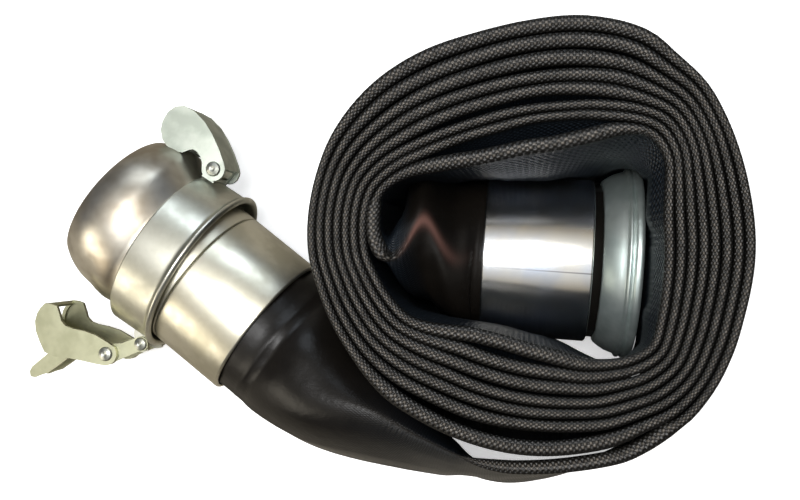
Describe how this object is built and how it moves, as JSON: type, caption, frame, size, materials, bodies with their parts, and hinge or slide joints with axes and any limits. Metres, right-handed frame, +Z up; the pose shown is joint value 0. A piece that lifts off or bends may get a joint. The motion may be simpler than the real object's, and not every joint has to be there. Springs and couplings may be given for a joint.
{
  "type": "rolled fire hose",
  "caption": "Rolled black layflat discharge hose with lever-lock ball and socket couplings on its ends.",
  "frame": {"origin": "centre of the bounding box in plan, on the floor the roll rests on", "axes": "+Z up out of the roll, +X from the male coupling toward the roll"},
  "size_m": [0.5124, 0.3216, 0.164],
  "materials": {
    "hose_black": "black ribbed rubber, glossy at the two ends",
    "seal_rubber": "matt black rubber",
    "zinc": "satin zinc plate",
    "zinc_bright": "bright zinc plate",
    "zinc_warm": "mottled satin zinc plate",
    "zinc_grey": "satin grey-green zinc plate",
    "zinc_yellow": "pale yellow passivated zinc plate"
  },
  "bodies": {
    "hose_and_couplings": {"hose": "hose_black", "male_ball": "zinc_warm", "male_shank": "zinc", "male_sleeve": "zinc_bright", "female_cup": "zinc", "female_shank": "zinc", "female_sleeve": "zinc_bright", "female_seal": "seal_rubber"},
    "ring": {"closure_ring": "zinc", "hook_lug": "zinc", "lever_lug": "zinc"},
    "hook": {"hook": "zinc_grey", "hook_rivet": "zinc_bright", "hook_bush": "zinc"},
    "link": {"link_near": "zinc_yellow", "link_far": "zinc_yellow", "link_rivet": "zinc_bright", "lever_bush": "zinc"},
    "lever": {"lever": "zinc_yellow", "lever_rivet": "zinc_bright"}
  },
  "joints": [
    {"name": "ring_turn", "type": "hinge", "parent": "hose_and_couplings", "child": "ring", "pos_m": [-0.13395, 0.01297, 0.0666], "axis": [-0.8434, 0.5373, 0], "continuous": true},
    {"name": "hook_swing", "type": "hinge", "parent": "ring", "child": "hook", "pos_m": [-0.106, 0.08029, 0.0666], "axis": [0, 0, -1], "range_deg": [0, 64]},
    {"name": "link_swing", "type": "hinge", "parent": "ring", "child": "link", "pos_m": [-0.16258, -0.04966, 0.0666], "axis": [0, 0, 1], "range_deg": [-4, 50]},
    {"name": "lever_swing", "type": "hinge", "parent": "link", "child": "lever", "pos_m": [-0.1888, -0.05714, 0.0666], "axis": [0, 0, 1], "range_deg": [-6, 90]}
  ]
}
